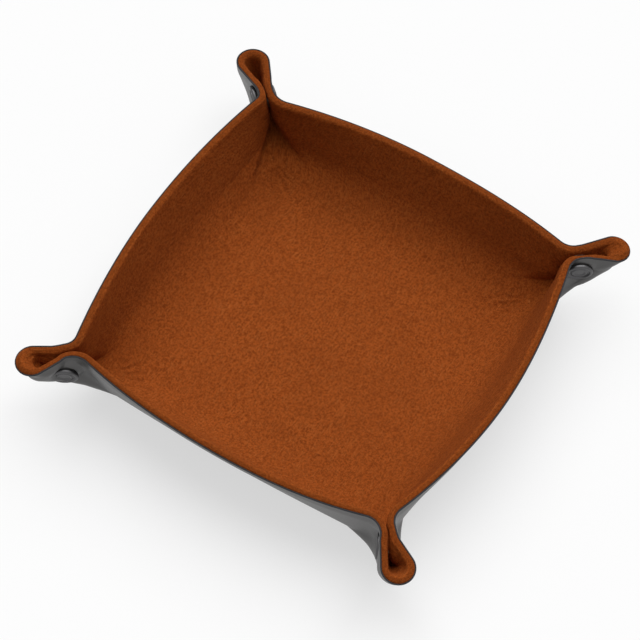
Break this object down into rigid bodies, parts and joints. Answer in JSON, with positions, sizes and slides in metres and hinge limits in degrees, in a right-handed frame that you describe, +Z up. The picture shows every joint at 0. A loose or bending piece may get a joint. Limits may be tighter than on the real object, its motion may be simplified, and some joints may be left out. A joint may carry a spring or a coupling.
{
  "type": "felt dice tray",
  "caption": "Square valet or dice tray folded from leather-backed felt, with bowed walls and pinched, looped corners that press studs hold shut; undone, it opens out nearly flat.",
  "frame": {"origin": "middle of the tray on the surface that it stands on", "axes": "+Z up; +X and +Y square to two neighbouring walls, so the corners lie on the diagonals"},
  "size_m": [0.2024, 0.2024, 0.0388],
  "materials": {
    "felt": "matt rust brown wool felt with a short fibrous nap",
    "leather": "smooth black leather with a satin sheen",
    "gunmetal": "dark gunmetal plating, satin",
    "stud_metal": "dull nickel plating"
  },
  "bodies": {
    "floor": {"felt_floor": "felt", "leather_floor": "leather"},
    "wall_back_right": {"felt_wall_back_right": "felt", "leather_wall_back_right": "leather"},
    "wall_back_left": {"felt_wall_back_left": "felt", "leather_wall_back_left": "leather"},
    "wall_front_left": {"felt_wall_front_left": "felt", "leather_wall_front_left": "leather"},
    "wall_front_right": {"felt_wall_front_right": "felt", "leather_wall_front_right": "leather"},
    "ear_right_stud_side": {"felt_ear_right_stud_side": "felt", "leather_ear_right_stud_side": "leather", "snap_stud_right": "stud_metal", "snap_post_right": "gunmetal"},
    "loop_right_stud_side": {"felt_loop_right_stud_side": "felt", "leather_loop_right_stud_side": "leather"},
    "ear_right_cap_side": {"felt_ear_right_cap_side": "felt", "leather_ear_right_cap_side": "leather", "snap_cap_right": "gunmetal", "snap_socket_right": "stud_metal"},
    "loop_right_cap_side": {"felt_loop_right_cap_side": "felt", "leather_loop_right_cap_side": "leather"},
    "ear_back_cap_side": {"felt_ear_back_cap_side": "felt", "leather_ear_back_cap_side": "leather", "snap_cap_back": "gunmetal", "snap_socket_back": "stud_metal"},
    "loop_back_cap_side": {"felt_loop_back_cap_side": "felt", "leather_loop_back_cap_side": "leather"},
    "ear_back_stud_side": {"felt_ear_back_stud_side": "felt", "leather_ear_back_stud_side": "leather", "snap_stud_back": "stud_metal", "snap_post_back": "gunmetal"},
    "loop_back_stud_side": {"felt_loop_back_stud_side": "felt", "leather_loop_back_stud_side": "leather"},
    "ear_left_cap_side": {"felt_ear_left_cap_side": "felt", "leather_ear_left_cap_side": "leather", "snap_cap_left": "gunmetal", "snap_socket_left": "stud_metal"},
    "loop_left_cap_side": {"felt_loop_left_cap_side": "felt", "leather_loop_left_cap_side": "leather"},
    "ear_left_stud_side": {"felt_ear_left_stud_side": "felt", "leather_ear_left_stud_side": "leather", "snap_stud_left": "stud_metal", "snap_post_left": "gunmetal"},
    "loop_left_stud_side": {"felt_loop_left_stud_side": "felt", "leather_loop_left_stud_side": "leather"},
    "ear_front_stud_side": {"felt_ear_front_stud_side": "felt", "leather_ear_front_stud_side": "leather", "snap_stud_front": "stud_metal", "snap_post_front": "gunmetal"},
    "loop_front_stud_side": {"felt_loop_front_stud_side": "felt", "leather_loop_front_stud_side": "leather"},
    "ear_front_cap_side": {"felt_ear_front_cap_side": "felt", "leather_ear_front_cap_side": "leather", "snap_cap_front": "gunmetal", "snap_socket_front": "stud_metal"},
    "loop_front_cap_side": {"felt_loop_front_cap_side": "felt", "leather_loop_front_cap_side": "leather"}
  },
  "joints": [
    {"name": "fold_front_left", "type": "hinge", "parent": "floor", "child": "wall_front_left", "pos_m": [0, -0.07, 0.0004], "axis": [1, 0, 0], "range_deg": [0, 50]},
    {"name": "fold_back_right", "type": "hinge", "parent": "floor", "child": "wall_back_right", "pos_m": [0, 0.07, 0.0004], "axis": [-1, 0, 0], "range_deg": [0, 50.5]},
    {"name": "fold_back_left", "type": "hinge", "parent": "floor", "child": "wall_back_left", "pos_m": [-0.07, 0, 0.0004], "axis": [0, -1, 0], "range_deg": [0, 50.5]},
    {"name": "fold_front_right", "type": "hinge", "parent": "floor", "child": "wall_front_right", "pos_m": [0.07, 0, 0.0004], "axis": [0, 1, 0], "range_deg": [0, 50.5]},
    {"name": "neck_right_stud_side", "type": "hinge", "parent": "wall_back_right", "child": "ear_right_stud_side", "pos_m": [0.07153, 0.0738, 0.02645], "axis": [-0.2609, -0.2923, -0.9201], "range_deg": [0, 15.5]},
    {"name": "unroll_right_stud_side", "type": "hinge", "parent": "ear_right_stud_side", "child": "loop_right_stud_side", "pos_m": [0.08255, 0.09091, 0.02325], "axis": [0.4634, 0.5936, 0.6579], "range_deg": [0, 30.5]},
    {"name": "neck_right_cap_side", "type": "hinge", "parent": "wall_front_right", "child": "ear_right_cap_side", "pos_m": [0.0738, 0.07153, 0.02645], "axis": [0.2923, 0.2609, 0.9201], "range_deg": [0, 15.5]},
    {"name": "unroll_right_cap_side", "type": "hinge", "parent": "ear_right_cap_side", "child": "loop_right_cap_side", "pos_m": [0.09091, 0.08255, 0.02325], "axis": [-0.5936, -0.4634, -0.6579], "range_deg": [0, 30.5]},
    {"name": "neck_back_cap_side", "type": "hinge", "parent": "wall_back_left", "child": "ear_back_cap_side", "pos_m": [-0.0738, 0.07153, 0.02645], "axis": [0.2923, -0.2609, -0.9201], "range_deg": [0, 15.5]},
    {"name": "unroll_back_cap_side", "type": "hinge", "parent": "ear_back_cap_side", "child": "loop_back_cap_side", "pos_m": [-0.09091, 0.08255, 0.02325], "axis": [-0.5936, 0.4634, 0.6579], "range_deg": [0, 30.5]},
    {"name": "neck_back_stud_side", "type": "hinge", "parent": "wall_back_right", "child": "ear_back_stud_side", "pos_m": [-0.07153, 0.0738, 0.02645], "axis": [-0.2609, 0.2923, 0.9201], "range_deg": [0, 15.5]},
    {"name": "unroll_back_stud_side", "type": "hinge", "parent": "ear_back_stud_side", "child": "loop_back_stud_side", "pos_m": [-0.08255, 0.09091, 0.02325], "axis": [0.4634, -0.5936, -0.6579], "range_deg": [0, 30.5]},
    {"name": "neck_left_cap_side", "type": "hinge", "parent": "wall_front_left", "child": "ear_left_cap_side", "pos_m": [-0.07153, -0.0738, 0.02645], "axis": [0.2609, 0.2923, -0.9201], "range_deg": [0, 15.5]},
    {"name": "unroll_left_cap_side", "type": "hinge", "parent": "ear_left_cap_side", "child": "loop_left_cap_side", "pos_m": [-0.08255, -0.09091, 0.02325], "axis": [-0.4634, -0.5936, 0.6579], "range_deg": [0, 30.5]},
    {"name": "neck_left_stud_side", "type": "hinge", "parent": "wall_back_left", "child": "ear_left_stud_side", "pos_m": [-0.0738, -0.07153, 0.02645], "axis": [-0.2923, -0.2609, 0.9201], "range_deg": [0, 15.5]},
    {"name": "unroll_left_stud_side", "type": "hinge", "parent": "ear_left_stud_side", "child": "loop_left_stud_side", "pos_m": [-0.09091, -0.08255, 0.02325], "axis": [0.5936, 0.4634, -0.6579], "range_deg": [0, 30.5]},
    {"name": "neck_front_stud_side", "type": "hinge", "parent": "wall_front_right", "child": "ear_front_stud_side", "pos_m": [0.0738, -0.07153, 0.02645], "axis": [-0.2923, 0.2609, -0.9201], "range_deg": [0, 15.5]},
    {"name": "unroll_front_stud_side", "type": "hinge", "parent": "ear_front_stud_side", "child": "loop_front_stud_side", "pos_m": [0.09091, -0.08255, 0.02325], "axis": [0.5936, -0.4634, 0.6579], "range_deg": [0, 30.5]},
    {"name": "neck_front_cap_side", "type": "hinge", "parent": "wall_front_left", "child": "ear_front_cap_side", "pos_m": [0.07153, -0.0738, 0.02645], "axis": [0.2609, -0.2923, 0.9201], "range_deg": [0, 15.5]},
    {"name": "unroll_front_cap_side", "type": "hinge", "parent": "ear_front_cap_side", "child": "loop_front_cap_side", "pos_m": [0.08255, -0.09091, 0.02325], "axis": [-0.4634, 0.5936, -0.6579], "range_deg": [0, 30.5]}
  ],
  "couplings": [
    {"joint": "fold_back_right", "follows": "fold_front_left", "ratio": 1},
    {"joint": "fold_back_left", "follows": "fold_front_left", "ratio": 1},
    {"joint": "fold_front_right", "follows": "fold_front_left", "ratio": 1},
    {"joint": "neck_right_stud_side", "follows": "fold_front_left", "ratio": 0.3},
    {"joint": "unroll_right_stud_side", "follows": "fold_front_left", "ratio": 0.6},
    {"joint": "neck_right_cap_side", "follows": "fold_front_left", "ratio": 0.3},
    {"joint": "unroll_right_cap_side", "follows": "fold_front_left", "ratio": 0.6},
    {"joint": "neck_back_cap_side", "follows": "fold_front_left", "ratio": 0.3},
    {"joint": "unroll_back_cap_side", "follows": "fold_front_left", "ratio": 0.6},
    {"joint": "neck_back_stud_side", "follows": "fold_front_left", "ratio": 0.3},
    {"joint": "unroll_back_stud_side", "follows": "fold_front_left", "ratio": 0.6},
    {"joint": "neck_left_cap_side", "follows": "fold_front_left", "ratio": 0.3},
    {"joint": "unroll_left_cap_side", "follows": "fold_front_left", "ratio": 0.6},
    {"joint": "neck_left_stud_side", "follows": "fold_front_left", "ratio": 0.3},
    {"joint": "unroll_left_stud_side", "follows": "fold_front_left", "ratio": 0.6},
    {"joint": "neck_front_stud_side", "follows": "fold_front_left", "ratio": 0.3},
    {"joint": "unroll_front_stud_side", "follows": "fold_front_left", "ratio": 0.6},
    {"joint": "neck_front_cap_side", "follows": "fold_front_left", "ratio": 0.3},
    {"joint": "unroll_front_cap_side", "follows": "fold_front_left", "ratio": 0.6}
  ]
}
